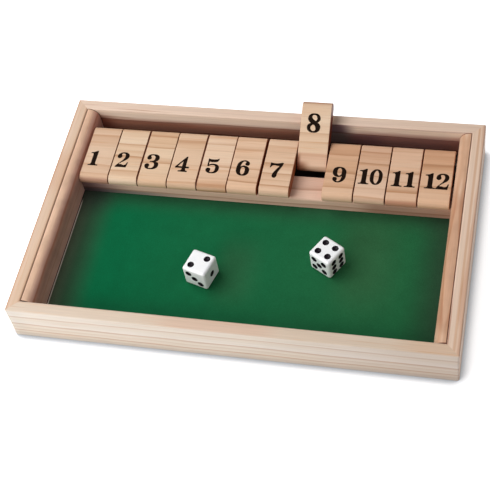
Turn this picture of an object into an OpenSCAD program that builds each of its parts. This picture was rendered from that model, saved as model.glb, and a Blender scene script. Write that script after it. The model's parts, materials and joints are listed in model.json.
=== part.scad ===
// Shut the box: a shallow mitred tray with a row of number tiles hinged on one rod, and two dice.
// Lengths are in millimetres. The origin is the middle of the underside. +X runs along the row of
// tiles from 1 upwards, +Y points to the back rail and +Z points up.

/* [Tray] */
// Inner depth of the tray, front to back
inner_d = 184; // [160:1:260]
// Height of the four rails
rail_h = 32; // [30:0.5:50]
// Thickness of the four rails
rail_t = 9.5; // [8:0.5:20]
// Rounding along the top edges of the rails
rail_edge_r = 1.2; // [0.4:0.1:3]
// Rounding of the tray's four upright corners
corner_r = 1.8; // [0.5:0.1:5]

/* [Base] */
// Height of the panel's groove above the bottom of the rails
groove_z = 4; // [2:0.5:6]
// Depth of the groove in each rail
groove_depth = 4; // [2:0.5:6]
// Room in the groove above the panel
groove_play = 0.1; // [0.05:0.05:0.5]
// Gap between the panel's edges and the bottom of the groove
panel_play = 0.3; // [0.1:0.1:1]
// Thickness of the base panel
panel_t = 3; // [2:0.5:5]
// Thickness of the felt
felt_t = 0.5; // [0.4:0.1:1.5]
// Bare margin between the felt and the battens or the front rail
felt_margin = 0.8; // [0.2:0.1:3]
// Gap between the felt and the foot of the ledge
felt_butt_gap = 0.1; // [0.05:0.05:1]

/* [Battens] */
// Width of the strip along each end of the tray
batten_w = 9; // [8:0.5:20]
// Radius of the strip's inner top edge
batten_round = 8; // [2:0.5:8]
// Small chamfer on the strip's outer top edge, where it meets the rail
batten_ease = 0.6; // [0.2:0.1:1]

/* [Tiles] */
// Number of tiles in the row
tile_count = 12; // [9:1:12]
// Width of a tile
tile_w = 22.9; // [18:0.1:30]
// Length of a tile, from one rounded end to the other
tile_l = 53; // [44:0.5:60]
// Thickness of a tile, and the diameter of its rounded ends
tile_t = 9.5; // [8:0.1:12]
// Rounding around both side faces of a tile
tile_edge_r = 0.5; // [0.2:0.1:1.5]
// Gap between neighbouring tiles when they are spread evenly along the rod
tile_gap = 0.8; // [0.3:0.1:1.5]
// Gap between each end of the evenly spread row and its batten
row_end_gap = 1.2; // [0.4:0.05:3]
// Number of tiles that have slid together at the left end
settled_tiles = 6; // [0:1:9]
// Share of the left end's gap that the settled tiles have taken up
end_settle = 0.55; // [0:0.05:0.8]
// Share of each gap that the settled tiles have closed
gap_settle = 0.3; // [0:0.05:0.7]
// Share of a gap by which the other tiles have slid to the left
loose_settle = 0.5; // [0:0.05:0.9]
// Depth of a lying tile's face below the rim
tile_recess = 4.5; // [1:0.1:6]
// Which tile lies turned back over the rail
raised_tile = 8; // [1:1:9]

/* [Hinge rod] */
// Diameter of the rod
rod_d = 3; // [2:0.1:4]
// Running clearance on the radius between the rod and a tile
rod_play = 0.05; // [0.02:0.01:0.1]
// Clearance on the radius between the rod and its seats in the battens
rod_seat_play = 0.02; // [0.01:0.01:0.05]
// Depth that the rod reaches into each batten
rod_seat = 6; // [3:0.5:7]
// Room past each end of the rod
rod_end_gap = 0.4; // [0.1:0.1:0.8]
// Distance from the back rail to the rod's axis
pivot_setback = 24.4; // [18:0.1:32]
// Distance from the rod's axis to a tile's back end
tile_tail = 12; // [9:0.5:14]
// Gap between a turned-back tile and the edge of the back rail
rest_gap = 0.25; // [0.1:0.05:1]

/* [Ledge] */
// Depth of the ledge, front to back
ledge_d = 21; // [12:0.5:24]
// How far lying tiles reach over the ledge's front
tile_overhang = 2.7; // [0:0.1:8]
// Gap between the ledge and a lying tile
ledge_gap = 0.1; // [0.05:0.05:0.5]
// Rounding of the ledge's front top edge
ledge_edge_r = 2; // [0.3:0.1:3]
// Gap between each end of the ledge and its batten
ledge_end_gap = 0.1; // [0.05:0.05:0.5]

/* [Dice] */
// Edge of a die
die_e = 18.9; // [14:0.1:22]
// Rounding of a die's edges and corners
die_r = 2; // [0.8:0.1:2.5]
// Depth of a pip
pip_depth = 1; // [0.3:0.1:1.5]
// Place of the left die across the tray
left_die_x = -31.1; // [-100:0.1:0]
// Place of the left die from front to back
left_die_y = -41.1; // [-60:0.1:0]
// Turn of the left die seen from above
left_die_turn = -16.7; // [-45:0.1:45]
// Place of the right die across the tray
right_die_x = 59.3; // [20:0.1:100]
// Place of the right die from front to back
right_die_y = -20.8; // [-60:0.1:0]
// Turn of the right die seen from above
right_die_turn = -30.7; // [-45:0.1:45]

/* [Hidden] */
$fn = 48;
// Overshoot of a cutting shape past the face that it opens
over = 1;

// Across the tray: the row of tiles sets the width
row_w = tile_count * tile_w + (tile_count - 1) * tile_gap;
bay_w = row_w + 2 * row_end_gap;
inner_w = bay_w + 2 * batten_w;
tile_pitch = tile_w + tile_gap;

// Heights
panel_top = groove_z + panel_t;
felt_top = panel_top + felt_t;
pivot_z = rail_h - tile_recess - tile_t / 2;
ledge_top = pivot_z - tile_t / 2 - ledge_gap;

// From front to back
pivot_y = inner_d / 2 - pivot_setback;
ledge_front = pivot_y - (tile_l - tile_tail) + tile_overhang;

// A turned-back tile leans on the rounded inner edge of the back rail. Its middle plane passes the
// centre of that rounding at lean_reach, which gives the angle at which it lies.
lean_y = pivot_setback + rail_edge_r;
lean_z = rail_h - rail_edge_r - pivot_z;
lean_reach = tile_t / 2 + rest_gap + rail_edge_r;
lean = atan2(lean_z, lean_y) + asin(lean_reach / norm([lean_y, lean_z]));
flip = 180 - lean;

// Pips keep their share of the die. The six stretches its two rows and brings them closer together,
// so that three wide pips stand clear of each other along the edge.
pip_d = 0.259 * die_e;
pip_offset = 0.233 * die_e;
six_row_step = 0.28 * die_e;
six_row_offset = 0.204 * die_e;
// A pip is a shallow cap of a ball
pip_ball_r = (pip_d * pip_d / 4 + pip_depth * pip_depth) / (2 * pip_depth);

// Places of the pips of a face, from its middle
PIPS = [
    [[0, 0]],
    [[-1, -1], [1, 1]] * pip_offset,
    [[-1, 1], [0, 0], [1, -1]] * pip_offset,
    [for (a = [-1, 1], b = [-1, 1]) [a, b] * pip_offset],
    concat([[0, 0]], [for (a = [-1, 1], b = [-1, 1]) [a, b] * pip_offset]),
    [for (a = [-1, 1], b = [-1, 0, 1]) [a * six_row_offset, b * six_row_step]]
];
// Turn that brings a face upwards for 1 to 6; opposite faces add up to seven
FACE_TURNS = [[0, 90, 0], [0, 0, 0], [90, 0, 0], [-90, 0, 0], [180, 0, 0], [0, -90, 0]];

// Lays an outline drawn in Y and Z along X, centred on the tray
module run_along_x(length) {
    translate([-length / 2, 0, 0])
        rotate([90, 0, 90])
            linear_extrude(length)
                children();
}

// ---- Tray frame ----

// Cross-section of a rail, with its inner face at 0
module rail_section() {
    difference() {
        union() {
            square([rail_t, rail_h - rail_edge_r]);
            translate([rail_edge_r, 0])
                square([rail_t - 2 * rail_edge_r, rail_h]);
            for (u = [rail_edge_r, rail_t - rail_edge_r])
                translate([u, rail_h - rail_edge_r])
                    circle(r = rail_edge_r);
        }
        translate([-over, groove_z])
            square([groove_depth + over, panel_t + groove_play]);
    }
}

// Plan of a rail at the back of a frame: mitred ends, and rounded outer corners
module rail_plan(inner_len, inner_off) {
    half = inner_len / 2;
    tip = half + rail_t;
    outer_off = inner_off + rail_t;
    intersection() {
        polygon([[-half, inner_off], [half, inner_off], [tip, outer_off], [-tip, outer_off]]);
        union() {
            translate([-tip, 0])
                square([2 * tip, outer_off - corner_r]);
            translate([corner_r - tip, 0])
                square([2 * (tip - corner_r), outer_off]);
            for (side = [-1, 1])
                translate([side * (tip - corner_r), outer_off - corner_r])
                    circle(r = corner_r);
        }
    }
}

module rail(inner_len, inner_off) {
    color("burlywood")
        intersection() {
            run_along_x(inner_len + 2 * rail_t)
                translate([inner_off, 0])
                    rail_section();
            linear_extrude(rail_h)
                rail_plan(inner_len, inner_off);
        }
}

module back_rail() {
    rail(inner_w, inner_d / 2);
}

module front_rail() {
    rotate([0, 0, 180])
        rail(inner_w, inner_d / 2);
}

module left_rail() {
    rotate([0, 0, 90])
        rail(inner_d, inner_w / 2);
}

module right_rail() {
    rotate([0, 0, -90])
        rail(inner_d, inner_w / 2);
}

// ---- Base ----

module base_panel() {
    reach = 2 * (groove_depth - panel_play);
    color("tan")
        translate([-(inner_w + reach) / 2, -(inner_d + reach) / 2, groove_z])
            cube([inner_w + reach, inner_d + reach, panel_t]);
}

module felt_lining() {
    felt_w = bay_w - 2 * felt_margin;
    felt_front = -inner_d / 2 + felt_margin;
    color("darkgreen")
        translate([-felt_w / 2, felt_front, panel_top])
            cube([felt_w, ledge_front - felt_butt_gap - felt_front, felt_t]);
}

// ---- Battens ----

// Cross-section of a batten, with the face that is glued to the rail at 0
module batten_section() {
    batten_h = rail_h - panel_top;
    round_r = min(batten_round, batten_w - batten_ease);
    difference() {
        union() {
            square([batten_w, batten_h - round_r]);
            square([batten_w - round_r, batten_h]);
            translate([batten_w - round_r, batten_h - round_r])
                intersection() {
                    circle(r = round_r);
                    square(round_r);
                }
        }
        polygon([[0, batten_h - batten_ease], [batten_ease, batten_h],
                 [batten_ease, batten_h + over], [-over, batten_h + over], [-over, batten_h - batten_ease]]);
    }
}

// Batten at the left end, bored from its inner face for the rod
module left_batten() {
    color("peru")
        difference() {
            translate([-inner_w / 2, inner_d / 2, panel_top])
                rotate([90, 0, 0])
                    linear_extrude(inner_d)
                        batten_section();
            translate([-bay_w / 2 - rod_seat - rod_end_gap, pivot_y, pivot_z])
                rotate([0, 90, 0])
                    cylinder(h = rod_seat + rod_end_gap + over, r = rod_d / 2 + rod_seat_play);
        }
}

module right_batten() {
    mirror([1, 0, 0])
        left_batten();
}

// ---- Tile row ----

module ledge_section() {
    height = ledge_top - panel_top;
    translate([ledge_edge_r, 0])
        square([ledge_d - ledge_edge_r, height]);
    square([ledge_d, height - ledge_edge_r]);
    translate([ledge_edge_r, height - ledge_edge_r])
        circle(r = ledge_edge_r);
}

module tile_ledge() {
    color("tan")
        run_along_x(bay_w - 2 * ledge_end_gap)
            translate([ledge_front, panel_top])
                ledge_section();
}

module tile_rod() {
    rod_l = bay_w + 2 * rod_seat;
    color("silver")
        translate([-rod_l / 2, pivot_y, pivot_z])
            rotate([0, 90, 0])
                cylinder(h = rod_l, d = rod_d);
}

// Cross-section of a tile across its width, with the four long edges rounded
module tile_section() {
    for (inset = [[0, tile_edge_r], [tile_edge_r, 0]])
        square([tile_w - 2 * inset[0], tile_t - 2 * inset[1]], center = true);
    for (sx = [-1, 1], sz = [-1, 1])
        translate([sx * (tile_w / 2 - tile_edge_r), sz * (tile_t / 2 - tile_edge_r)])
            circle(r = tile_edge_r);
}

// Rounded end of a tile: its section turned about the end's own axis
module tile_end() {
    rotate([0, 90, 0])
        rotate_extrude()
            intersection() {
                rotate([0, 0, 90])
                    tile_section();
                translate([0, -tile_w])
                    square([tile_t, 2 * tile_w]);
            }
}

// A tile lying flat, drawn about its hinge axis
module tile_blank() {
    front_end = tile_tail - tile_l + tile_t / 2;
    back_end = tile_tail - tile_t / 2;
    difference() {
        union() {
            translate([0, back_end, 0])
                rotate([90, 0, 0])
                    linear_extrude(back_end - front_end)
                        tile_section();
            for (y = [front_end, back_end])
                translate([0, y, 0])
                    tile_end();
        }
        translate([-tile_w / 2 - over, 0, 0])
            rotate([0, 90, 0])
                cylinder(h = tile_w + 2 * over, r = rod_d / 2 + rod_play);
    }
}

// Slide of a tile to the left of its even place on the rod. The turned-back tile and its left-hand
// neighbours have slid twice as far as the tiles on its right.
function tile_slide(i) =
    i <= settled_tiles ? end_settle * row_end_gap + (i - 1) * gap_settle * tile_gap
                       : (i <= raised_tile ? 2 : 1) * loose_settle * tile_gap;

function tile_x(i) = (i - (tile_count + 1) / 2) * tile_pitch - tile_slide(i);

module tile(i) {
    color("wheat")
        translate([tile_x(i), pivot_y, pivot_z])
            rotate([i == raised_tile ? -flip : 0, 0, 0])
                tile_blank();
}

// ---- Dice ----

// Cube with every edge and corner rounded
module rounded_cube(edge, r) {
    flat = edge - 2 * r;
    for (size = [[edge, flat, flat], [flat, edge, flat], [flat, flat, edge]])
        cube(size, center = true);
    for (turn = [[0, 0, 0], [90, 0, 0], [0, 90, 0]])
        rotate(turn)
            for (a = [-1, 1], b = [-1, 1])
                translate([a * flat / 2, b * flat / 2, 0])
                    cylinder(h = flat, r = r, center = true);
    for (a = [-1, 1], b = [-1, 1], c = [-1, 1])
        translate([a, b, c] * flat / 2)
            sphere(r = r);
}

// A die about its middle: 2 on top, 3 in front and 1 on the right
module die() {
    color("white")
        difference() {
            rounded_cube(die_e, die_r);
            for (n = [1:6])
                rotate(FACE_TURNS[n - 1])
                    for (pip = PIPS[n - 1])
                        translate([pip[0], pip[1], die_e / 2 + pip_ball_r - pip_depth])
                            sphere(r = pip_ball_r);
        }
}

module left_die() {
    translate([left_die_x, left_die_y, felt_top + die_e / 2])
        rotate([0, 0, left_die_turn])
            die();
}

// Tipped half a turn about a slanting axis, which brings 4 up, 5 to the front and 6 to the right
module right_die() {
    translate([right_die_x, right_die_y, felt_top + die_e / 2])
        rotate([0, 0, right_die_turn])
            rotate(a = 180, v = [0, 1, 1])
                die();
}

front_rail();
back_rail();
left_rail();
right_rail();
base_panel();
felt_lining();
left_batten();
right_batten();
tile_ledge();
tile_rod();
for (i = [1:tile_count])
    tile(i);
left_die();
right_die();
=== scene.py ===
# %% [markdown]
# # A shut the box game, dressed for the camera
#
# Shut the box is a pub and parlour game. Two dice are thrown into a felt-lined tray and the player
# flips over numbered tiles that add up to the throw. The wooden pieces, the rod and the dice come from
# a CAD model with their exact shapes. Here they get their finishes, and what CAD leaves out is
# modelled: the cloth lining, the printed numbers and the painted pips.
#
# Everything that follows is placed in its coordinates: metres, +X along the row of tiles, +Y to the
# back rail, +Z up, zero in the middle of the underside.

# %% Load the CAD model
import json
import math

import bpy
from mathutils import Matrix, Vector

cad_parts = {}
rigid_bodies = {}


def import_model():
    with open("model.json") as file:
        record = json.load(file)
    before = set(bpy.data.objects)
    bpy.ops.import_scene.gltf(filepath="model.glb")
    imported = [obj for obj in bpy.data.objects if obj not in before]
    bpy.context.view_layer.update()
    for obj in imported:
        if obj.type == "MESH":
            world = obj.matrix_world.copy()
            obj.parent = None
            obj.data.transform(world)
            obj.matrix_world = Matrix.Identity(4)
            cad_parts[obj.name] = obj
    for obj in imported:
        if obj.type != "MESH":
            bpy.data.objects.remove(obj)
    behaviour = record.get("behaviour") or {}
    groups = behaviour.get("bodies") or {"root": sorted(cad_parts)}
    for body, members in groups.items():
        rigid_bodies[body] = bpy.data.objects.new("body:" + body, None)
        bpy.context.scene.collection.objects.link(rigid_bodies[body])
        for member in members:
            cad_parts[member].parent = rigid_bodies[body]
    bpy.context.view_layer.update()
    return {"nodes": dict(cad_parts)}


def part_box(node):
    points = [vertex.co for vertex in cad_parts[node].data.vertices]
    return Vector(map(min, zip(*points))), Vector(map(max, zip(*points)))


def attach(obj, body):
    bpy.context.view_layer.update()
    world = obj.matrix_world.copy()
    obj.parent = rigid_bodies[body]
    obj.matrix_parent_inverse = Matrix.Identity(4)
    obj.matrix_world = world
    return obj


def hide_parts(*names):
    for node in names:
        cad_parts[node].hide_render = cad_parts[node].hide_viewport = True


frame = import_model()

MM = 0.001

# %% [markdown]
# ## Camera
#
# A game like this is shown from above and in front, as a player sees it, so that every number can be
# read. A long lens keeps the long sides of the tray nearly parallel. The three angles are the
# camera's turn about X, Y and Z; the small turn about Y is the roll that a hand-held camera has.

# %% Place the camera
CAMERA_PLACE = (0.19691, -0.52595, 0.75438)
CAMERA_TURN = (35.922, 7.448, 11.271)
LENS_MM = 91.78

camera_data = bpy.data.cameras.new("camera")
camera_data.lens = LENS_MM
camera_data.sensor_width = 36.0
camera = bpy.data.objects.new("camera", camera_data)
camera.location = CAMERA_PLACE
camera.rotation_euler = [math.radians(a) for a in CAMERA_TURN]
bpy.context.scene.collection.objects.link(camera)
bpy.context.scene.camera = camera
print("camera", round(Vector(CAMERA_PLACE).length, 2), "m away")

# %% [markdown]
# ## Small helpers
#
# Every new piece starts with nothing selected, because an operator acts on all that is selected.
# Colours are written as the sRGB hex codes that a paint program shows, and one function turns them
# into the linear values that a renderer works with.

# %% Helpers for selecting and for colour
bpy.context.scene.view_settings.view_transform = "Standard"


def select_none():
    """Leaves nothing selected, because an operator acts on all that is."""
    for other in bpy.context.scene.objects:
        other.select_set(False)


def select_only(piece):
    """Makes this piece the only selected and the active one."""
    select_none()
    piece.select_set(True)
    bpy.context.view_layer.objects.active = piece


def bake_place(piece):
    """Moves the piece's place, turn and size into its mesh, so that its object sits at the origin."""
    select_only(piece)
    bpy.ops.object.transform_apply(location=True, rotation=True, scale=True)


def linear(code):
    """A colour such as #RRGGBB as linear red, green and blue, with an alpha of 1."""
    srgb = [int(code[i : i + 2], 16) / 255 for i in (1, 3, 5)]
    return [c / 12.92 if c <= 0.04045 else ((c + 0.055) / 1.055) ** 2.4 for c in srgb] + [1.0]


print("mid grey", [round(c, 3) for c in linear("#808080")])

# %% [markdown]
# ## Building materials from nodes
#
# A material is a small graph of nodes. One function adds a node: it sets the node's options, fills in
# plain values, links the sockets that are given, and sets the stops of a colour ramp.

# %% One function that adds a node
def add(tree, kind, inputs=None, stops=None, **options):
    """Adds a node of this kind to the tree, with its options, inputs and colour stops."""
    node = tree.nodes.new("ShaderNode" + kind)
    for name, value in options.items():
        setattr(node, name, value)
    for socket, value in (inputs or {}).items():
        if isinstance(value, bpy.types.NodeSocket):
            tree.links.new(value, node.inputs[socket])
        else:
            node.inputs[socket].default_value = value
    if stops:
        ramp = node.color_ramp.elements
        while len(ramp) < len(stops):
            ramp.new(1.0)
        for element, (place, colour) in zip(ramp, stops):
            element.position = place
            element.color = colour
    return node


def new_material(name):
    """A material without nodes, and the tree to build them in."""
    material = bpy.data.materials.new(name)
    material.use_nodes = True
    material.node_tree.nodes.clear()
    return material, material.node_tree


def finish_with(material, piece):
    """Gives the piece this material as its only one."""
    piece.data.materials.clear()
    piece.data.materials.append(material)


def grey(value):
    """An opaque grey of this linear value, for masks."""
    return (value, value, value, 1.0)


# A patch fades in where a face's normal comes this near to its side, as a cosine
SIDE_FADE = (0.4, 0.9)


def patch_mask(tree, where, side, spans):
    """1 on faces that look to this side (on all faces for None), faded in over each span.

    A span is an axis of the tray and the two places in mm between which the patch fades in.
    """
    mask = 1.0
    if side:
        turned = add(tree, "VectorMath", {0: where.outputs["Normal"], 1: side}, operation="DOT_PRODUCT")
        mask = add(tree, "MapRange", {"Value": turned.outputs["Value"], "From Min": SIDE_FADE[0],
                                      "From Max": SIDE_FADE[1]}).outputs[0]
    at = add(tree, "SeparateXYZ", {"Vector": where.outputs["Object"]})
    for axis, start, end in spans:
        level = add(tree, "MapRange", {"Value": at.outputs[axis], "From Min": start * MM,
                                       "From Max": end * MM}, interpolation_type="SMOOTHSTEP")
        mask = add(tree, "Math", {0: mask, 1: level.outputs[0]}, operation="MULTIPLY").outputs[0]
    return mask


print("node helper ready")

# %% [markdown]
# ## Pine
#
# The tray and the tiles are pine, planed, sanded and given a clear satin lacquer. Pine has one
# growth ring a year: wide pale earlywood that darkens into a thin band of orange latewood and stops
# sharply. A board is a slice through these cylinders, so the rings show as long lines on its faces.
#
# The pattern is therefore solid: a point's distance from the tree's pith gives its ring. Every piece
# gets its own pith and its own stretch of tree. Faces then agree with each other at the edges, as in
# real wood. All scales are in millimetres, because the mapping turns metres into millimetres.

# %% Place a piece in its tree
def place_in_tree(tree, where, piece, along, pith, tree_at, flat_turn):
    """A point's place in the tree in mm: x along the grain, with the pith on the line y = z = 0.

    pith is the pith's offset in mm across the piece, tree_at the stretch of tree that it comes from,
    and flat_turn the turn about X in degrees that would lay the piece flat.
    """
    low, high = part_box(piece)
    middle = (low + high) / 2
    turn = Matrix.Rotation(math.radians(flat_turn), 3, "X")
    angles = (math.radians(flat_turn), 0.0, 0.0)
    if along == "Y":
        turn = Matrix.Rotation(-math.pi / 2, 3, "Z")
        angles = (0.0, 0.0, -math.pi / 2)
    place = Vector((tree_at, -pith[0], -pith[1])) - turn @ (middle / MM)
    return add(tree, "Mapping", {"Vector": where.outputs["Object"], "Location": place,
                                 "Rotation": angles, "Scale": (1 / MM, 1 / MM, 1 / MM)}).outputs[0]


# %% [markdown]
# ### Growth rings
#
# Real rings are neither round nor even. Slow noise bends them, and a second noise along the radius
# makes good and bad years. Each year then draws a random number for how dark its latewood gets. A
# colour ramp over one year gives the slow rise and the sharp stop.

# %% Draw the growth rings
# How dark the wood is through a year, from spring to winter
YEAR = [(0.0, 0.1), (0.06, 0.0), (0.4, 0.05), (0.72, 0.4), (0.88, 1.0), (0.95, 0.85), (1.0, 0.1)]


def growth_rings(tree, wood, ring, wobble):
    """How much latewood a point has, and the random numbers of its year.

    ring is the width of a year in mm, and wobble how far the rings bend in mm.
    """
    # A bend is about 90 mm long and 25 mm wide
    bend_at = add(tree, "VectorMath", {0: wood, 1: (1 / 90, 1 / 25, 1 / 25)}, operation="MULTIPLY")
    bend = add(tree, "TexNoise", {"Vector": bend_at.outputs[0], "Scale": 1.0, "Detail": 2.0})
    bend_mm = add(tree, "Math", {0: bend.outputs["Fac"], 1: 2 * wobble, 2: -wobble},
                  operation="MULTIPLY_ADD")
    across = add(tree, "VectorMath", {0: wood, 1: (0.0, 1.0, 1.0)}, operation="MULTIPLY")
    radius = add(tree, "VectorMath", {0: across.outputs[0]}, operation="LENGTH")
    bent = add(tree, "Math", {0: radius.outputs["Value"], 1: bend_mm.outputs[0]}, operation="ADD")
    # The spacing of the rings changes every 12 mm or so
    spell = add(tree, "Math", {0: bent.outputs[0], 1: 1 / 12}, operation="MULTIPLY")
    spells = add(tree, "TexNoise", {"W": spell.outputs[0], "Scale": 1.0}, noise_dimensions="1D")
    aged = add(tree, "Math", {0: spells.outputs["Fac"], 1: 1.6 * ring, 2: bent.outputs[0]},
               operation="MULTIPLY_ADD")
    count = add(tree, "Math", {0: aged.outputs[0], 1: ring}, operation="DIVIDE")
    phase = add(tree, "Math", {0: count.outputs[0]}, operation="FRACT")
    year = add(tree, "Math", {0: count.outputs[0]}, operation="FLOOR")
    chance = add(tree, "TexWhiteNoise", {"W": year.outputs[0]}, noise_dimensions="1D")
    # Most years are faint and a few are strong
    uneven = add(tree, "Math", {0: chance.outputs["Value"], 1: 1.8}, operation="POWER")
    strong = add(tree, "MapRange", {"Value": uneven.outputs[0], "To Min": 0.08, "To Max": 1.0})
    band = add(tree, "ValToRGB", {"Fac": phase.outputs[0]},
               stops=[(part, grey(value)) for part, value in YEAR])
    latewood = add(tree, "Math", {0: band.outputs["Color"], 1: strong.outputs[0]},
                   operation="MULTIPLY")
    return latewood.outputs[0], chance.outputs["Color"]


print("latewood is darkest", YEAR[4][0], "through the year")

# %% [markdown]
# ### The colour of clean wood
#
# Earlywood has a pale and a deep tone, which change over broad patches and from year to year. The
# latewood and a few thin resin streaks lie over them. Fine fibres make all of it a little lighter or
# darker, and in places a much handled strip is blotched as well.

# %% Colour the clean wood
def clean_wood(tree, wood, latewood, chance, early, late, streak):
    """The wood's colour. early holds its pale and deep tone."""
    # Broad patches, 80 mm long, where the wood is a little redder or paler
    patch_at = add(tree, "VectorMath", {0: wood, 1: (1 / 80, 1 / 18, 1 / 18)}, operation="MULTIPLY")
    patch = add(tree, "TexNoise", {"Vector": patch_at.outputs[0], "Scale": 1.0, "Detail": 1.0})
    # Each year's wood also has a tone of its own
    year_tone = add(tree, "MapRange", {"Value": chance, "To Min": -0.35, "To Max": 0.35})
    tone_at = add(tree, "Math", {0: patch.outputs["Fac"], 1: year_tone.outputs[0]}, operation="ADD",
                  use_clamp=True)
    toned = add(tree, "Mix", {0: tone_at.outputs[0], 6: linear(early[0]), 7: linear(early[1])},
                data_type="RGBA")
    ringed = add(tree, "Mix", {0: latewood, 6: toned.outputs[2], 7: linear(late)}, data_type="RGBA")
    # Resin streaks: rare thin orange lines, 1.6 mm wide and 55 mm long
    resin_at = add(tree, "VectorMath", {0: wood, 1: (1 / 55, 1 / 1.6, 1 / 1.6)}, operation="MULTIPLY")
    resin = add(tree, "TexNoise", {"Vector": resin_at.outputs[0], "Scale": 1.0, "Detail": 2.0})
    resin_mask = add(tree, "MapRange", {"Value": resin.outputs["Fac"], "From Min": 0.62,
                                        "From Max": 0.78, "To Max": 0.55})
    return add(tree, "Mix", {0: resin_mask.outputs[0], 6: ringed.outputs[2], 7: linear(streak)},
               data_type="RGBA").outputs[2]


def fibre_shade(tree, wood, worn):
    """The fine fibres, and how light they and the blotches make the wood."""
    # Fibres are streaks 0.7 mm wide and a few centimetres long
    fibre_at = add(tree, "VectorMath", {0: wood, 1: (1 / 40, 1 / 0.7, 1 / 0.7)}, operation="MULTIPLY")
    fibre = add(tree, "TexNoise", {"Vector": fibre_at.outputs[0], "Scale": 1.0, "Detail": 3.0})
    shade = add(tree, "MapRange", {"Value": fibre.outputs["Fac"], "From Min": 0.3, "From Max": 0.7,
                                   "To Min": 0.93, "To Max": 1.04})
    if worn:
        # Soft blotches, about 8 mm wide across the grain and a little longer along it
        blotch_at = add(tree, "VectorMath", {0: wood, 1: (1 / 14, 1 / 8, 1 / 8)}, operation="MULTIPLY")
        blotch = add(tree, "TexNoise", {"Vector": blotch_at.outputs[0], "Scale": 1.0, "Detail": 2.0})
        shade = add(tree, "MapRange", {"Value": blotch.outputs["Fac"], "From Min": 0.3,
                                       "From Max": 0.6, "To Min": 1.0 - worn,
                                       "To Max": shade.outputs[0]})
    return fibre.outputs["Fac"], shade.outputs[0]


print("clean wood ready")

# %% [markdown]
# ### Stains and painted shade
#
# A used game isn't one tone all round. Smoke, hands and old glue stain parts of a board, and end grain
# drinks the lacquer and darkens. So a piece may get patches, each bound to one side of it and faded in
# along the tray's axes. Many of them are no stains but painted shade and painted shadow, where shade
# falls in recesses, gaps and corners, and a few are painted light. A patch multiplies the wood's colour,
# so the rings still show through it.

# %% Stain the wood and paint its shade
END_GRAIN = "#C4998B"
# Black painted on the panel's top as shade, for the slot under a raised tile
SLOT_SHADE_BLACK = "#141214"
# The dirt in a seam starts this far before the joint and is full this far before it, in mm
SEAM_FADE = (0.65, 0.35)


def stained(tree, where, shown, along, end_grain_and_gap_shade, tones):
    """Wood colour with its end grain and patches, some painted shade: the side, spans and colour of each.
    """
    axis = (0.0, 1.0, 0.0) if along == "Y" else (1.0, 0.0, 0.0)
    facing = add(tree, "VectorMath", {0: where.outputs["Normal"], 1: axis}, operation="DOT_PRODUCT")
    end_on = add(tree, "Math", {0: facing.outputs["Value"]}, operation="ABSOLUTE")
    end_mask = add(tree, "MapRange", {"Value": end_on.outputs[0], "From Min": 0.55, "From Max": 0.95})
    shown = add(tree, "Mix", {0: end_mask.outputs[0], 6: shown, 7: linear(end_grain_and_gap_shade)},
                data_type="RGBA", blend_type="MULTIPLY").outputs[2]
    for side, spans, code in tones:
        shown = add(tree, "Mix", {0: patch_mask(tree, where, side, spans), 6: shown, 7: linear(code)},
                    data_type="RGBA", blend_type="MULTIPLY").outputs[2]
    return shown


def dirty_seam(tree, where, shown, seam):
    """Glue and dust at a strip's edge: the side (1 or -1), the joint's x and y in mm, and a colour."""
    side, joint_x, joint_y, dirt_code = seam
    apart = add(tree, "SeparateXYZ", {"Vector": where.outputs["Object"]})
    by_side = add(tree, "Math", {0: apart.outputs["X"], 1: side, 2: -joint_x * MM},
                  operation="MULTIPLY_ADD")
    end = add(tree, "Math", {0: apart.outputs["Y"]}, operation="ABSOLUTE")
    by_end = add(tree, "Math", {0: end.outputs[0], 1: joint_y * MM}, operation="SUBTRACT")
    inside = add(tree, "Math", {0: by_side.outputs[0], 1: by_end.outputs[0]}, operation="MAXIMUM")
    dirt = add(tree, "MapRange", {"Value": inside.outputs[0], "From Min": -SEAM_FADE[0] * MM,
                                  "From Max": -SEAM_FADE[1] * MM})
    return add(tree, "Mix", {0: dirt.outputs[0], 6: shown, 7: linear(dirt_code)},
               data_type="RGBA").outputs[2]


def black_above(tree, where, shown):
    """Paints the upward side black: painted shade, so the slot under a raised tile reads dark."""
    height = add(tree, "SeparateXYZ", {"Vector": where.outputs["Normal"]})
    up = add(tree, "Math", {0: height.outputs["Z"], 1: 0.5}, operation="GREATER_THAN")
    return add(tree, "Mix", {0: up.outputs[0], 6: shown, 7: linear(SLOT_SHADE_BLACK)},
               data_type="RGBA").outputs[2]


print("stains ready")

# %% [markdown]
# ### One rule for every pine piece
#
# The colour goes to the shader together with a shallow relief: latewood is harder, so sanding leaves it
# a little proud of the earlywood. The satin lacquer gives a soft gloss that varies with the fibres.

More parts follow.
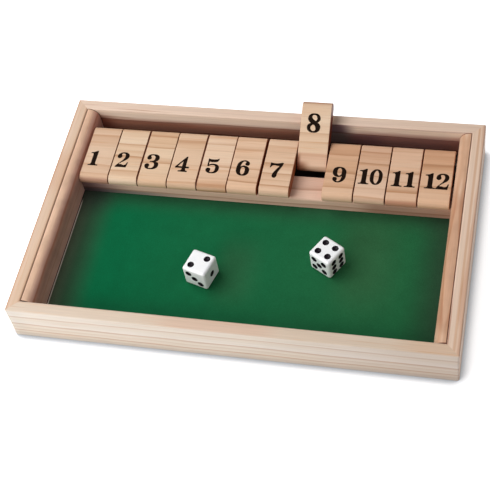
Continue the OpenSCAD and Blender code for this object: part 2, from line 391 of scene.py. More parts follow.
# %% The pine material
def pine(name, piece, along, pith, ring, early, late, streak, wobble=2.2, tree_at=0.0, flat_turn=0.0,
         seam=None, slot_in_shade=False, tones=(), end_grain_and_gap_shade=END_GRAIN, worn=0.0):
    """Lacquered pine for one CAD node.

    along is its grain axis, and worn is how far soft blotches darken it.
    """
    material, tree = new_material(name)
    where = add(tree, "TexCoord")
    wood = place_in_tree(tree, where, piece, along, pith, tree_at, flat_turn)
    latewood, chance = growth_rings(tree, wood, ring, wobble)
    shown = clean_wood(tree, wood, latewood, chance, early, late, streak)
    shown = stained(tree, where, shown, along, end_grain_and_gap_shade, tones)
    if seam:
        shown = dirty_seam(tree, where, shown, seam)
    if slot_in_shade:
        shown = black_above(tree, where, shown)
    fibre, shade = fibre_shade(tree, wood, worn)
    colour = add(tree, "VectorMath", {0: shown, "Scale": shade}, operation="SCALE")
    roughness = add(tree, "MapRange", {"Value": fibre, "To Min": 0.5, "To Max": 0.38})
    relief = add(tree, "Math", {0: latewood, 1: 0.5, 2: fibre}, operation="MULTIPLY_ADD")
    bump = add(tree, "Bump", {"Height": relief.outputs[0], "Strength": 0.35,
                              "Distance": 0.12 * MM})
    shader = add(tree, "BsdfPrincipled", {"Base Color": colour.outputs[0], "IOR": 1.5,
                                          "Specular IOR Level": 0.2,
                                          "Roughness": roughness.outputs[0],
                                          "Normal": bump.outputs[0]})
    add(tree, "OutputMaterial", {"Surface": shader.outputs[0]})
    finish_with(material, frame["nodes"][piece])


print("pine rule ready")

# %% [markdown]
# ## The tray's rails
#
# Four rails are mitred at 45 degrees, so that the grain turns the corner at a clean diagonal line and
# no end grain shows. Pale young pine was used: cream with a few thin orange lines. The inner face of the
# back rail is painted darker and browner behind the tiles, as painted shade, and darkest and bluish in
# the corner beside the raised one, as its painted shadow. The front rail's front face is painted a
# little darker towards its right end, as painted shade where the light falls off.

# %% Finish the rails
UP, FRONT, RIGHT = (0.0, 0.0, 1.0), (0.0, -1.0, 0.0), (1.0, 0.0, 0.0)
# Grain axis, pith across and up in mm, a year's width in mm, pale and deep earlywood, latewood, resin
# streak, place in the tree in mm, and patches
RAILS = {
    "front_rail": ("X", (-14.0, -78.0), 4.6, ("#EFE3D6", "#E6D5C0"), "#C89B7A", "#E1B690", 130.0,
                   [(UP, [("Z", 20, 25)], "#F1E9E2"), (UP, [("Y", -94, -91.5)], "#F3EFEF"),
                    (UP, [("X", -60, -35), ("X", 45, 20)], "#FFF4F1"), (UP, [("X", 110, 140)], "#FFF4EC"),
                    # The first patch on the next line is painted shade: the front face darkens towards
                    # its right end, where the light falls off.
                    (FRONT, [("X", 0, 160)], "#F0ECEC"), (FRONT, [("X", -140, -160)], "#F6F8F9")]),
    "back_rail": ("X", (52.0, -50.0), 4.2, ("#FEE7D2", "#F4D5BA"), "#A06A4F", "#C98F68", 910.0,
                  # Painted shade on the inner face: darker behind the tiles, and in the corner by the
                  # left batten.
                  [(FRONT, [("Z", 26, 19)], "#CB9E93"),
                   (FRONT, [("X", -125, -143), ("Z", 29, 22)], "#D3BCBC"),
                   (FRONT, [("Z", 30.2, 31.2)], "#EDEAEA"),
                   (FRONT, [("Z", 30.2, 31.2), ("X", 30, 66)], "#EAE5E7"),
                   # Painted shadow of the raised tile: a dark bluish patch beside it, and painted shade
                   # on the inner face to its right, darkest low down.
                   (FRONT, [("X", 50, 76), ("Z", 27.5, 24.5), ("Z", 20.5, 23)], "#E5D7D7"),
                   (FRONT, [("X", 66, 52), ("X", 24, 30), ("Z", 20, 24)], "#958699"),
                   (FRONT, [("X", 66, 52), ("X", 24, 30), ("Z", 24, 20)], "#B6DFFF"),
                   (FRONT, [("X", 50, 66), ("Z", 24, 20)], "#D7D7ED"),
                   (FRONT, [("X", 50, 66), ("X", 92, 74), ("Z", 24, 20)], "#DADAE7"),
                   (UP, [("Z", 20, 25)], "#ECE8E8")]),
    "left_rail": ("Y", (38.0, -46.0), 4.0, ("#E2C6AF", "#D9B89B"), "#C38D69", "#D7A076", 1730.0,
                  [(None, [("X", -159, -161)], "#E1CBBC"), (None, [("X", -154.6, -152.6)], "#EFE6E0"),
                   (None, [("Y", 0, 18), ("Y", 55, 38)], "#F8F0EB")]),
    "right_rail": ("Y", (-30.0, -64.0), 4.4, ("#EFD4BF", "#E6C5AA"), "#D3A589", "#DDA77E", 2450.0,
                   [(UP, [("X", 156, 156.8), ("X", 158.6, 157.8)], "#F0E2D6"),
                    (UP, [("X", 153.4, 152.7), ("Y", -40, -80)], "#BC9B90")]),
}
for rail, (along, pith, ring, early, late, streak, tree_at, tones) in RAILS.items():
    pine("lacquered_pine_" + rail, rail, along, pith, ring, early, late, streak, tree_at=tree_at,
         tones=tones)
print("rails finished:", len(RAILS))

# %% [markdown]
# ## Battens and ledge
#
# A rounded strip is glued along each end and carries the hinge rod. The ledge under the tiles is a
# plain strip. Both are cut from redder boards than the rails. A thin line of glue and dust marks where
# a batten meets the rails. The ledge's front is painted darker and bluer at its left end, as painted
# shade under the first tiles. The left batten's inner face is tinted to cancel the green light that the
# felt bounces onto it, and the right batten is painted darker from near its front to past its middle,
# as painted shade where the front lamp lights it.

# %% Finish the battens and the ledge
pine("lacquered_pine_left_batten", "left_batten", "Y", (20.0, -70.0), 5.5, ("#F2CFB3", "#E7BC9E"),
     "#D09875", "#E3AB85", tree_at=3310.0, seam=(-1.0, 152.0, 92.0, "#4A2016"),
     # The first patch is painted light: it tints the inner face to cancel the green light that the felt
     # bounces onto it.
     tones=[(RIGHT, [], "#EDDDEA"), (RIGHT, [("Z", 15, 22)], "#EFE6E6")], worn=0.16)
pine("lacquered_pine_right_batten", "right_batten", "Y", (-26.0, -60.0), 5.0, ("#EFD1B4", "#E3BEA1"),
     "#D2A484", "#DDAD8B", tree_at=4120.0, seam=(1.0, 152.15, 92.0, "#7C4230"),
     # This patch is painted shade: it darkens the batten where the front lamp lights it.
     tones=[(None, [("Y", 52, 20), ("Y", -88, -72)], "#E5D4CB")], worn=0.12)
pine("lacquered_pine_ledge", "tile_ledge", "X", (30.0, -50.0), 4.8, ("#EECBB3", "#DFB6A0"),
     "#B58469", "#CC9876", tree_at=5020.0,
     # The first and the last patch paint shade on the front's left end, under the first tiles, deepest at
     # its foot.
     tones=[(FRONT, [("X", -96, -138)], "#A096A8"), (FRONT, [("X", 70, 88)], "#DFD4D1"),
            (FRONT, [("X", -40, -105), ("Z", 13.5, 9.5)], "#ADBFCB")])
print("battens and ledge finished")

# %% [markdown]
# ## The tiles
#
# The tiles are sawn one after another from a moulded strip whose grain runs along the row. They are
# mixed before they go on the rod, so the lines don't carry on from one tile to the next. Each tile
# therefore gets its own pith, its own stretch of tree and its own tone. Their sawn sides are end grain.
# Tile 8 stands open, so its pattern is turned with it and stays level across its face.

# %% Finish the tiles
TILE_LATE = "#C08F6A"
TILE_STREAK = "#D0905F"
# The raised tile's turn about the rod in degrees, and the way its end looks then
TILE_TURN = 149.186
RAISED_END = (0.0, 0.86, 0.51)
# Each tile comes from a stretch of tree of its own, this many mm after the last
TREE_START = 7000.0
TREE_STEP = 431.0
# The sawn sides of tiles 2, 4 and 11 are painted darker, as painted shade in the gaps beside them, and
# the last tile's side is painted paler, as painted light in its shaded gap by the batten. Thin dark lines
# on the tops along these gaps, and along tile 1's edge by the batten, are painted shade too.
TILE_END = "#BE8668"
SHADED_TILE_SIDES = {2: "#7E4A36", 4: "#7E4A36", 11: "#A66A4C", 12: "#FFE4D8"}
# Pith across and up in mm, pale and deep tone of the earlywood, and patches
TILES = [
    (-70, -46, "#E2C3A7", "#D4AC8C", [(FRONT, [("Z", 27, 25.5)], "#E4D2D3"),
                                      # Painted shade: a dark line along the edge by the left batten.
                                      (UP, [("X", -141.7, -142.3)], "#B08A78")]),
    # On tiles 2 to 5, dark lines along the gaps after tiles 2 and 4: painted shade in the gaps.
    (-96, -30, "#ECD3B8", "#DDB997", [(UP, [("X", -96.8, -96.4)], "#8A5640")]),
    (88, -40, "#E7C8A9", "#D8AF8B", [(UP, [("X", -94.8, -95.2)], "#8A5640")]),
    (-60, -66, "#E7C6A8", "#D8AE8A", [(UP, [("X", -49.9, -49.5)], "#8A5640")]),
    (74, -34, "#F1D5BA", "#E1B998", [(UP, [("X", -47.9, -48.3)], "#8A5640")]),
    (64, -28, "#EFCEB1", "#E0B592", []),
    (-84, -38, "#EDCEB1", "#DEB391", []),
    # Tile 8 carries painted light and shade: its end and right side, which face away from the light, are
    # darker, a dark band marks where its tip turns away, its tail below the neighbours' tops is pinker,
    # and tile 7's shadow is painted on its lower left.
    (70, -30, "#EDD3B8", "#DEB896", [(RAISED_END, [], "#E5D7D4"), (RIGHT, [], "#BC897C"),
                                     (UP, [("Z", 46.3, 46.8), ("Z", 47.7, 47.3)], "#B3948B"),
                                     (UP, [("Z", 27.8, 27.2)], "#FCF1EF"),
                                     (None, [("X", 26.8, 23.8), ("Z", 28, 25)], "#C49F92"),
                                     (None, [("X", 35, 26), ("Z", 24.8, 22.4)], "#C8A99C")]),
    (78, -52, "#EAC4A4", "#DBAB86", [(UP, [("Y", 52, 76)], "#F4EAE4")]),
    (-66, -34, "#EBC9AE", "#DCB08F", [(UP, [("Y", 52, 76)], "#F4EAE4")]),
    (92, -46, "#EFCDB1", "#E0B391", [(UP, [("Y", 52, 76)], "#F7EFEA"),
                                     # A dark line along the gap to tile 12: painted shade.
                                     (UP, [("X", 117.0, 117.4)], "#A87458"),
                                     (FRONT, [("Z", 27, 25.5)], "#E6D0CD")]),
    (-76, -58, "#EDC6A6", "#DEAD88", [(UP, [("Y", 52, 76)], "#F4EAE4")]),
]
for number, (across, up, pale, deep, tones) in enumerate(TILES, start=1):
    # Years of 5 to 8 mm, in an order that doesn't repeat from one tile to the next
    ring = 5.0 + 0.5 * (number * 5 % 7)
    pine(f"lacquered_pine_tile_{number}", f"tile_{number}", "X", (across, up), ring, (pale, deep),
         TILE_LATE, TILE_STREAK, wobble=2.8, tree_at=TREE_START + TREE_STEP * number,
         flat_turn=TILE_TURN if number == 8 else 0.0, tones=tones,
         end_grain_and_gap_shade=SHADED_TILE_SIDES.get(number, TILE_END))
print("tiles finished:", len(TILES))

# %% [markdown]
# ## Base panel and rod
#
# The base is thin rotary-cut plywood, held in the rails' grooves. It is left unfinished below, and its
# upper side is painted black as painted shade, so that the slot behind the ledge reads dark. The rod is
# drawn steel wire that has gone dull. Drawing leaves fine scratches along it, which stretch its
# highlight.

# %% Finish the base panel and the rod
# Its upper side is painted black: painted shade for the slot behind the ledge.
pine("unfinished_plywood_base", "base_panel", "X", (40.0, -160.0), 9.0, ("#DDC09C", "#D2B28C"),
     "#BF9A72", "#CBA57C", wobble=6.0, tree_at=15300.0, slot_in_shade=True)

drawn_steel, tree = new_material("drawn_steel_wire")
where = add(tree, "TexCoord")
along_rod = add(tree, "VectorMath", {0: where.outputs["Object"], 1: (20.0, 4000.0, 4000.0)},
                operation="MULTIPLY")
scratches = add(tree, "TexNoise", {"Vector": along_rod.outputs[0], "Scale": 1.0, "Detail": 2.0})
rough = add(tree, "MapRange", {"Value": scratches.outputs["Fac"], "To Min": 0.4, "To Max": 0.6})
grey_tone = add(tree, "ValToRGB", {"Fac": scratches.outputs["Fac"]},
                stops=[(0.3, linear("#5E5A57")), (0.7, linear("#86817D"))])
shader = add(tree, "BsdfPrincipled", {"Base Color": grey_tone.outputs[0], "Metallic": 1.0,
                                      "Roughness": rough.outputs[0]})
add(tree, "OutputMaterial", {"Surface": shader.outputs[0]})
finish_with(drawn_steel, frame["nodes"]["tile_rod"])
print("base and rod finished")

# %% [markdown]
# ## Felt
#
# Felt is wool or acrylic fibre that is matted and pressed, not woven. It has no threads: the eye sees
# a soft mottled green with a faint pale fuzz at a low angle, so its material has some sheen. Here the
# cloth is glued to the panel. It is modelled as its own thin sheet: a grid is given the lining's
# thickness, and its upper side gets the slight unevenness that glue leaves. Towards the edges the green
# is painted greyer and darker, as painted shade from the walls, and its right-hand half is painted
# greyer as a painted sheen of the lamps.

# %% Model the felt
FELT_CELL = 2.4 * MM
FELT_UNEVEN = 0.05 * MM
felt_low, felt_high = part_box("felt_lining")
felt_size = felt_high - felt_low
cells = [int(felt_size[i] / FELT_CELL) for i in (0, 1)]
select_none()
bpy.ops.mesh.primitive_grid_add(x_subdivisions=cells[0], y_subdivisions=cells[1], size=1.0)
felt = bpy.context.active_object
felt.name = "felt_cloth"
felt.scale = (felt_size.x, felt_size.y, 1.0)
felt.location = ((felt_low.x + felt_high.x) / 2, (felt_low.y + felt_high.y) / 2, felt_low.z)
bake_place(felt)
bpy.ops.object.mode_set(mode="EDIT")
bpy.ops.mesh.select_all(action="SELECT")
bpy.ops.mesh.extrude_region_move(TRANSFORM_OT_translate={"value": (0.0, 0.0, felt_size.z)})
bpy.ops.mesh.select_all(action="SELECT")
bpy.ops.mesh.normals_make_consistent(inside=False)
bpy.ops.object.mode_set(mode="OBJECT")
middle_height = (felt_low.z + felt_high.z) / 2
for vertex in felt.data.vertices:
    if vertex.co.z > middle_height:
        # Two crossed waves, some 50 mm long, that bend each other
        u, v = vertex.co.x / MM, vertex.co.y / MM
        waves = math.sin(u / 9 + 1.3 * math.sin(v / 13)) + math.sin(v / 7 + 1.1 * math.sin(u / 17))
        vertex.co.z -= FELT_UNEVEN * (0.5 + waves / 4)
bpy.ops.object.shade_smooth_by_angle(angle=math.radians(40))
print("felt faces", len(felt.data.polygons), "size in mm", [round(v / MM, 1) for v in felt_size])

# %% Finish the felt
green_felt, tree = new_material("pressed_green_felt")
where = add(tree, "TexCoord")
cloth = add(tree, "Mapping", {"Vector": where.outputs["Object"], "Scale": (1 / MM, 1 / MM, 1 / MM)})
# Matted fibres, drawn 0.8 mm wide, which is coarser than real ones, so that they show
fuzz = add(tree, "TexNoise", {"Vector": cloth.outputs[0], "Scale": 1 / 0.8, "Detail": 4.0,
                              "Roughness": 0.7})
mottle = add(tree, "TexNoise", {"Vector": cloth.outputs[0], "Scale": 1 / 14, "Detail": 2.0})
# The right-hand half is painted greyer, as a painted sheen of the lamps on the cloth
across = add(tree, "SeparateXYZ", {"Vector": cloth.outputs[0]})
painted_sheen = add(tree, "MapRange", {"Value": across.outputs["X"], "From Min": -100.0, "From Max": 90.0})
greens = add(tree, "Mix", {0: painted_sheen.outputs[0], 6: linear("#04643D"), 7: linear("#21653D")},
             data_type="RGBA")
# Painted shade along the edges, where the walls and the ledge shade the cloth, deepest beside the left
# batten as its painted shadow, greyer and browner at its foot as painted light bounced from the wood,
# and darkest in the back left corner. Then a strip of dried glue at the batten's foot, and a browner
# patch to the right of each die: each patch's spans, its most share and its colour
FELT_PATCHES = [
    ([("Y", 8, 32)], 0.55, "#304A36"),
    ([("X", 112, 146)], 0.85, "#2B4232"),
    ([("Y", -60, -84)], 0.4, "#16402A"),
    ([("X", -110, -136)], 0.85, "#364937"),
    ([("X", -130, -142)], 0.6, "#606A57"),
    ([("X", -108, -134), ("Y", 0, 26)], 0.55, "#2A2A2C"),
    ([("X", -140.9, -141.9), ("Y", 22, 14)], 1.0, "#E4DCD0"),
    ([("X", 54, 82), ("X", 124, 86), ("Y", -76, -28), ("Y", 44, 0)], 0.75, "#34643F"),
    ([("X", -30, -12), ("X", 18, -8), ("Y", -74, -44), ("Y", 6, -26)], 0.8, "#2C6440"),
]
shade = greens.outputs[2]
for spans, most, code in FELT_PATCHES:
    level = add(tree, "Math", {0: patch_mask(tree, where, None, spans), 1: most}, operation="MULTIPLY")
    shade = add(tree, "Mix", {0: level.outputs[0], 6: shade, 7: linear(code)},
                data_type="RGBA").outputs[2]
mottled = add(tree, "MapRange", {"Value": mottle.outputs["Fac"], "From Min": 0.3, "From Max": 0.7,
                                 "To Min": 0.94, "To Max": 1.05})
fuzzy = add(tree, "MapRange", {"Value": fuzz.outputs["Fac"], "From Min": 0.3, "From Max": 0.7,
                               "To Min": 0.86, "To Max": 1.14})
tone = add(tree, "Math", {0: mottled.outputs[0], 1: fuzzy.outputs[0]}, operation="MULTIPLY")
colour = add(tree, "VectorMath", {0: shade, "Scale": tone.outputs[0]}, operation="SCALE")
bump = add(tree, "Bump", {"Height": fuzz.outputs["Fac"], "Strength": 0.6, "Distance": 0.15 * MM})
shader = add(tree, "BsdfPrincipled", {"Base Color": colour.outputs[0], "Roughness": 0.95,
                                      "IOR": 1.4, "Specular IOR Level": 0.08,
                                      "Sheen Weight": 0.02, "Sheen Roughness": 0.6,
                                      "Normal": bump.outputs[0]})
add(tree, "OutputMaterial", {"Surface": shader.outputs[0]})
finish_with(green_felt, felt)
finish_with(green_felt, frame["nodes"]["felt_lining"])

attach(felt, "tray")
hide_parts("felt_lining")
print("felt laid")

# %% [markdown]
# ## Numbers
#
# The numbers are printed in a heavy old-style face with ball ends and strong thick and thin strokes.
# Each digit is drawn as closed outlines on a flat curve. A point is a corner, or smooth, where the
# curve passes through it without a kink. A second outline inside the first is a hole. Ink spreads a
# little on wood, so every outline is moved out by a fifth of a millimetre. The filled curve gets a
# thickness and becomes a mesh: a skin of ink 0.03 mm proud of the wood.

# %% Draw the digits
# Points are in tenths of a millimetre: x to the right, y up from the foot, c for corner, s for smooth
DIGITS = {
    "0": ["47,145s 15,126s 2,72s 15,18s 47,0s 79,18s 92,72s 79,126s",
          "47,135s 61,117s 67,72s 61,28s 47,10s 33,28s 27,72s 33,117s"],
    "1": ["2,0c 78,0c 78,6c 63,9s 56,22c 56,143c 48,143c 28,131s 3,126c 3,120c 17,119s 24,107c "
          "24,22c 17,9s 2,6c"],
    "2": ["1,0c 88,0c 95,48c 90,48c 81,26s 63,20s 45,26s 28,28s 41,46s 62,63s 83,82s 92,106s "
          "82,134s 50,145s 17,135s 2,108s 6,92s 20,87s 34,97s 33,112s 29,126s 42,136s 57,131s "
          "64,108s 57,80s 36,49s 14,23s"],
    "3": ["50,145s 17,136s 6,112s 11,97s 24,93s 37,103s 36,115s 30,128s 44,137s 62,131s 70,108s "
          "65,88s 52,79s 33,77c 33,72c 52,70s 67,62s 74,42s 66,16s 46,8s 29,16s 34,26s 33,42s "
          "19,51s 4,45s 0,30s 12,9s 50,0s 91,11s 105,42s 97,64s 74,75c 93,87s 101,110s 89,136s"],
    "4": ["30,0c 99,0c 99,8c 88,10s 81,20c 81,36c 107,36c 107,49c 81,49c 81,146c 73,146c 0,44c "
          "0,36c 55,36c 55,20c 46,10s 30,8c",
          "55,49c 16,49c 55,106c"],
    "5": ["6,138c 20,134s 45,132s 70,135s 86,142c 83,124s 72,112s 50,109s 28,109s 14,115c 14,78c "
          "30,87s 54,90s 87,77s 98,46s 86,12s 50,0s 12,10s 0,32s 6,45s 19,49s 32,40s 33,27s "
          "30,14s 47,8s 65,18s 71,45s 66,72s 47,80s 26,76s 14,66c 6,68c"],
    "6": ["55,146s 82,136s 93,117s 90,103s 77,99s 64,107s 63,120s 66,132s 54,138s 38,128s "
          "29,104s 27,80c 40,91s 60,94s 90,78s 99,46s 88,12s 50,0s 13,16s 0,70s 14,126s",
          "50,83s 64,72s 68,46s 63,18s 50,9s 37,20s 32,48s 36,74s"],
    "7": ["3,142c 8,142c 20,138s 42,136s 68,140s 86,146c 98,146c 97,132s 79,86s 64,46s 61,14s "
          "48,1s 33,8s 30,28s 42,60s 76,117c 56,117s 34,121s 16,116s 6,98c 2,98c"],
    "8": ["50,145s 16,135s 4,108s 10,88s 28,72c 8,60s 0,37s 13,10s 51,0s 88,11s 100,42s 92,63s "
          "74,77c 90,88s 96,108s 84,135s",
          "50,136s 33,127s 35,109s 62,86c 73,98s 73,116s 66,130s",
          "48,61s 31,52s 24,36s 31,17s 49,9s 64,17s 66,32s"],
}
DIGIT_WIDE = {"0": 94, "1": 80, "2": 96, "3": 105, "4": 107, "5": 98, "6": 99, "7": 98, "8": 100,
              "9": 99}
# Extra space between the two digits of a number
PAIR_SPACE = {"10": 2, "11": 16, "12": 1}
SIX_HIGH = 146


def outlines(digit):
    """The digit's closed outlines as lists of (x, y, kind). A 9 is a 6 turned half round."""
    if digit == "9":
        return [[(DIGIT_WIDE["6"] - x, SIX_HIGH - y, kind) for x, y, kind in line]
                for line in outlines("6")]
    lines = []
    for line in DIGITS[digit]:
        points = [word[:-1].split(",") + [word[-1]] for word in line.split()]
        lines.append([(float(x), float(y), kind) for x, y, kind in points])
    return lines


def number_width(text):
    """Width of a one- or two-digit number in tenths of a millimetre."""
    return sum(DIGIT_WIDE[digit] for digit in text) + PAIR_SPACE.get(text, 0)


print("width of 12 in mm:", number_width("12") / 10)

# %% Turn a number into a skin of ink
INK_HALF = 0.04 * MM
INK_PROUD = 0.03 * MM
INK_SPREAD = 0.19 * MM
# Points of the outline closer than this are one
INK_WELD = 0.0005 * MM


def runs_left(line):
    """True where the outline runs anticlockwise."""
    return sum(a[0] * b[1] - b[0] * a[1] for a, b in zip(line, line[1:] + line[:1])) > 0


def ink_number(name, text):
    """A number as a thin closed mesh, centred on x, with its foot at y = 0 and its face to +Z."""
    curve = bpy.data.curves.new(name, "CURVE")
    curve.dimensions = "2D"
    curve.fill_mode = "BOTH"
    curve.resolution_u = 8
    curve.extrude = INK_HALF
    curve.offset = INK_SPREAD
    start = -number_width(text) / 2
    for digit in text:
        for index, line in enumerate(outlines(digit)):
            # The spread goes to one side of a line, so the outer outline and the holes run opposite ways
            if runs_left(line) == (index == 0):
                line = line[::-1]
            spline = curve.splines.new("BEZIER")
            spline.bezier_points.add(len(line) - 1)
            for point, (x, y, kind) in zip(spline.bezier_points, line):
                point.co = ((start + x) * MM / 10, y * MM / 10, 0.0)
                point.handle_left_type = "AUTO" if kind == "s" else "VECTOR"
                point.handle_right_type = point.handle_left_type
            spline.use_cyclic_u = True
        start += DIGIT_WIDE[digit] + PAIR_SPACE.get(text, 0)
    piece = bpy.data.objects.new(name, curve)
    bpy.context.scene.collection.objects.link(piece)
    select_only(piece)
    bpy.ops.object.convert(target="MESH")
    bpy.ops.object.mode_set(mode="EDIT")
    bpy.ops.mesh.select_all(action="SELECT")
    bpy.ops.mesh.remove_doubles(threshold=INK_WELD)
    bpy.ops.mesh.normals_make_consistent(inside=False)
    bpy.ops.object.mode_set(mode="OBJECT")
    return bpy.context.active_object


printing_ink, tree = new_material("satin_printing_ink")
where = add(tree, "TexCoord")
# The ink is a warm black, and thin: the grain under it, 0.7 mm wide, makes it paler in streaks
ink_at = add(tree, "VectorMath", {0: where.outputs["Object"], 1: (25.0, 1400.0, 1400.0)},
             operation="MULTIPLY")
thin = add(tree, "TexNoise", {"Vector": ink_at.outputs[0], "Scale": 1.0, "Detail": 3.0})
ink_tone = add(tree, "ValToRGB", {"Fac": thin.outputs["Fac"]},
               stops=[(0.35, linear("#190C05")), (0.75, linear("#231710"))])
ink_rough = add(tree, "MapRange", {"Value": thin.outputs["Fac"], "To Min": 0.55, "To Max": 0.75})
shader = add(tree, "BsdfPrincipled", {"Base Color": ink_tone.outputs[0], "IOR": 1.5,
                                      "Specular IOR Level": 0.05,
                                      "Roughness": ink_rough.outputs[0]})
add(tree, "OutputMaterial", {"Surface": shader.outputs[0]})
print("ink ready")

# %% [markdown]
# ## Printing the tiles
#
# Every tile carries its number on both faces, so that it still reads when it is flipped over. The
# upper number stands upright for the player. The lower one has its top towards the tile's front end,
# which comes to point backwards. The printing was done by hand in a jig, so the numbers wander by a
# millimetre or two. Tile 8 is already flipped: its two numbers are turned about the rod with it.

# %% Print the numbers
ROD_AXIS = Vector((0.0, 0.0676, 0.02275))
TILE_FRONT_Y = 0.0266
TILE_TOP_Z = 0.0275
TILE_BOTTOM_Z = 0.018
# How far each upper number's foot is from its tile's front end, in mm from tile 1 to tile 12, then the
# same for the lower ones, and how far each number stands to the right of its tile's middle
FOOT_FROM_FRONT = (12.5, 12.7, 12.8, 12.6, 13.2, 13.1, 13.2, 13.2, 13.3, 13.6, 13.7, 13.8)
FOOT_BELOW = 24.05
SIDE_SHIFT = (-3.5, -4.0, -3.5, -2.5, -2.1, -2.0, -1.5, -1.2, -0.8, -0.9, -0.1, 0.6)
flipped = Matrix.Translation(ROD_AXIS) @ Matrix.Rotation(math.radians(-TILE_TURN), 4, "X")
flipped = flipped @ Matrix.Translation(-ROD_AXIS)
INK_LIFT = INK_PROUD - INK_HALF

for number in range(1, 13):
    low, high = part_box(f"tile_{number}")
    middle_x = (low.x + high.x) / 2 + SIDE_SHIFT[number - 1] * MM
    above = Matrix.Translation((middle_x, TILE_FRONT_Y + FOOT_FROM_FRONT[number - 1] * MM,
                                TILE_TOP_Z + INK_LIFT))
    below = Matrix.Translation((middle_x, TILE_FRONT_Y + FOOT_BELOW * MM, TILE_BOTTOM_Z - INK_LIFT))
    below = below @ Matrix.Rotation(math.pi, 4, "X")
    for side, place in (("upper", above), ("lower", below)):
        piece = ink_number(f"number_{number}_{side}", str(number))
        piece.matrix_world = (flipped @ place) if number == 8 else place
        bake_place(piece)
        finish_with(printing_ink, piece)
        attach(piece, f"flap_{number}")
print("numbers printed on", number, "tiles")

# %% [markdown]
# ## Dice
#
# The dice are cast in white resin and tumbled until their edges are round and glossy. The pips are
# drilled with a ball cutter and filled by a drop of black paint, which dries as a glossy skin over
# the hollow. The skin is a cap cut from a sphere that is a hair larger than the cutter.

# %% Finish the dice
DIE_EDGE = 18.9 * MM
white_resin, tree = new_material("tumbled_white_resin")
where = add(tree, "TexCoord")
cast = add(tree, "Mapping", {"Vector": where.outputs["Object"], "Scale": (1 / MM, 1 / MM, 1 / MM)})
cloud = add(tree, "TexNoise", {"Vector": cast.outputs[0], "Scale": 1 / 6, "Detail": 2.0})
resin_tone = add(tree, "ValToRGB", {"Fac": cloud.outputs["Fac"]},
                 stops=[(0.35, linear("#FBFCFE")), (0.65, linear("#FFFFFF"))])
tumble = add(tree, "TexNoise", {"Vector": cast.outputs[0], "Scale": 1 / 1.5, "Detail": 2.0})
resin_rough = add(tree, "MapRange", {"Value": tumble.outputs["Fac"], "To Min": 0.1, "To Max": 0.24})
resin_bump = add(tree, "Bump", {"Height": tumble.outputs["Fac"], "Strength": 0.15,
                                "Distance": 0.03 * MM})
shader = add(tree, "BsdfPrincipled", {"Base Color": resin_tone.outputs[0], "IOR": 1.54,
                                      "Roughness": resin_rough.outputs[0],
                                      "Normal": resin_bump.outputs[0]})
add(tree, "OutputMaterial", {"Surface": shader.outputs[0]})
for die in ("left_die", "right_die"):
    finish_with(white_resin, frame["nodes"][die])
print("dice finished")

# %% Model one painted pip
PIP_WIDE = 0.259 * DIE_EDGE
PIP_DEEP = 1.0 * MM
PAINT_THICK = 0.05 * MM
# The skin reaches a hair into the resin, and stops a hair below the die's face
PAINT_SUNK = 0.01 * MM
PAINT_BELOW = 0.02 * MM
# The cutter's radius follows from how wide and how deep its hollow is
ball = (PIP_WIDE**2 / 4 + PIP_DEEP**2) / (2 * PIP_DEEP)
cap_angle = math.asin(PIP_WIDE / 2 / ball)


def painted_pip():
    """A bowl-shaped skin of paint for the pip in the face z = DIE_EDGE / 2, about the die's middle."""
    select_none()
    centre_z = DIE_EDGE / 2 + ball - PIP_DEEP
    bpy.ops.mesh.primitive_uv_sphere_add(segments=32, ring_count=48, radius=ball + PAINT_SUNK,
                                         location=(0.0, 0.0, centre_z))
    pip = bpy.context.active_object
    bake_place(pip)
    bpy.ops.object.mode_set(mode="EDIT")
    bpy.ops.mesh.select_all(action="SELECT")
    bpy.ops.mesh.bisect(plane_co=(0.0, 0.0, DIE_EDGE / 2 - PAINT_BELOW), plane_no=(0.0, 0.0, 1.0),
                        clear_outer=True)
    bpy.ops.object.mode_set(mode="OBJECT")
    skin = pip.modifiers.new("skin", "SOLIDIFY")
    skin.thickness = PAINT_THICK
    skin.offset = -1.0
    bpy.ops.object.modifier_apply(modifier=skin.name)
    bpy.ops.object.shade_smooth_by_angle(angle=math.radians(50))
    return pip


black_paint, tree = new_material("glossy_black_paint")
where = add(tree, "TexCoord")
flow = add(tree, "TexNoise", {"Vector": where.outputs["Object"], "Scale": 700.0, "Detail": 1.0})
paint_tone = add(tree, "ValToRGB", {"Fac": flow.outputs["Fac"]},
                 stops=[(0.3, linear("#100A12")), (0.7, linear("#1A0F1B"))])
paint_rough = add(tree, "MapRange", {"Value": flow.outputs["Fac"], "To Min": 0.3, "To Max": 0.45})
shader = add(tree, "BsdfPrincipled", {"Base Color": paint_tone.outputs[0], "IOR": 1.5,
                                      "Specular IOR Level": 0.15,
                                      "Roughness": paint_rough.outputs[0]})
add(tree, "OutputMaterial", {"Surface": shader.outputs[0]})
print("pip cap angle", round(math.degrees(cap_angle)), "degrees")

# %% Set the pips into both dice
# How far the outer pips sit from the face's middle, as a share of the die's edge
PIP_SHARE = 0.233
PIP_OFFSET = PIP_SHARE * DIE_EDGE
# The six has its two rows of three closer together and longer
SIX_ROWS_APART = 0.204 / PIP_SHARE
SIX_STEP = 0.28 / PIP_SHARE
# Where the pips of each face sit, in offsets from its middle
PIPS = {
    1: [(0, 0)],
    2: [(-1, -1), (1, 1)],
    3: [(-1, 1), (0, 0), (1, -1)],
    4: [(-1, -1), (1, -1), (-1, 1), (1, 1)],
    5: [(-1, -1), (1, -1), (0, 0), (-1, 1), (1, 1)],
    6: [(a * SIX_ROWS_APART, b * SIX_STEP) for a in (-1, 1) for b in (-1, 0, 1)],
}
# Turns about X and then Y, in degrees, that bring the top face to each number's face
FACE_TURNS = {1: (0, 90), 2: (0, 0), 3: (90, 0), 4: (-90, 0), 5: (180, 0), 6: (0, -90)}
